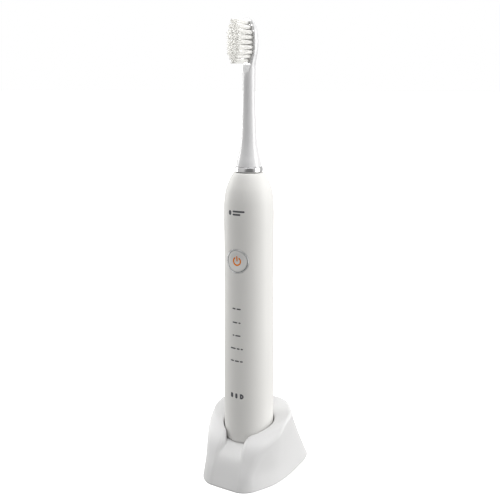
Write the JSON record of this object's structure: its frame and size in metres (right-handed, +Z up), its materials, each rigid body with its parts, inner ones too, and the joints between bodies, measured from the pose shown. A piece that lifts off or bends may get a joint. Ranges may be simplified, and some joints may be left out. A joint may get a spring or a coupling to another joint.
{
  "type": "electric toothbrush on charger",
  "caption": "Sonic electric toothbrush with a lift-off handle, pull-off brush head and press button, standing in an induction charging base.",
  "frame": {"origin": "centre of the charging base's footprint on the desk, at the bottom of the rubber feet", "axes": "+Z up along the handle, -Y towards the front where the button and the notch are, +X to the right seen from the front"},
  "size_m": [0.053, 0.0704, 0.2627],
  "materials": {
    "white_satin": "satin warm white moulded plastic, fine and even",
    "base_white": "satin white moulded plastic with soft gloss",
    "head_white": "smooth gloss cool white plastic",
    "bristle": "translucent warm white filament",
    "chrome": "bright plated",
    "silver": "satin plated bezel",
    "button_grey": "pale satin button face",
    "icon_orange": "orange inlay",
    "rubber_grey": "soft grey rubber",
    "seal_white": "white silicone",
    "steel": "turned steel",
    "nickel": "nickel strip",
    "copper": "enamelled copper winding",
    "ferrite": "dark sintered ferrite",
    "frame_grey": "moulded frame plastic",
    "bobbin": "natural nylon",
    "board_green": "solder-masked board",
    "component_black": "moulded component packages",
    "battery_blue": "shrink sleeve",
    "lamp": "diffused lamp lens",
    "clear": "clear light guide",
    "brass": "stamped brass",
    "magnet": "plated magnet"
  },
  "bodies": {
    "charger": {"charger_shell": "base_white", "bottom_cover": "base_white", "rubber_feet": "rubber_grey", "cover_screws": "steel", "charger_ferrite": "ferrite", "coil_bobbin": "bobbin", "primary_coil": "copper", "charger_board": "board_green", "charger_components": "component_black", "inlet_socket": "nickel"},
    "handle": {"handle_housing": "white_satin", "base_cap": "white_satin", "cap_o_ring": "rubber_grey", "coil_former": "bobbin", "receiver_coil": "copper", "inner_chassis": "frame_grey", "battery_cell": "battery_blue", "battery_tabs": "nickel", "circuit_board": "board_green", "board_components": "component_black", "board_screws": "steel", "tact_switch": "component_black", "mode_leds": "lamp", "battery_leds": "lamp", "light_guide": "clear", "button_ring": "silver", "button_seal": "seal_white", "motor_can": "steel", "motor_end_cap": "component_black", "rear_bearing": "brass", "front_bearing": "brass", "stator_core": "magnet", "stator_coils": "copper", "motor_dampers": "rubber_grey", "torsion_spring": "steel", "shaft_seal": "seal_white", "seal_retainer": "frame_grey"},
    "power_button": {"button_cap": "button_grey", "power_icon": "icon_orange", "switch_plunger": "seal_white"},
    "drive_shaft": {"drive_shaft": "steel", "rotor_core": "steel", "rotor_magnets": "magnet"},
    "brush_head": {"brush_head_body": "head_white", "bristle_tufts": "bristle", "tuft_anchors": "brass", "head_insert_clip": "frame_grey", "collar_ring": "chrome"}
  },
  "joints": [
    {"name": "handle_lift", "type": "slide", "parent": "charger", "child": "handle", "axis": [0, 0, 1], "range_m": [0, 0.06]},
    {"name": "button_press", "type": "slide", "parent": "handle", "child": "power_button", "axis": [0, 1, 0], "range_m": [0, 0.0005], "stiffness_N_per_m": 900, "springref_m": -0.0006},
    {"name": "shaft_sweep", "type": "hinge", "parent": "handle", "child": "drive_shaft", "pos_m": [0, -0.0045, 0.12225], "axis": [0, 0, 1], "range_deg": [-4.5, 4.5], "stiffness_Nm_per_rad": 0.3},
    {"name": "brush_head_pull", "type": "slide", "parent": "drive_shaft", "child": "brush_head", "axis": [0, 0, 1], "range_m": [0, 0.03]}
  ]
}
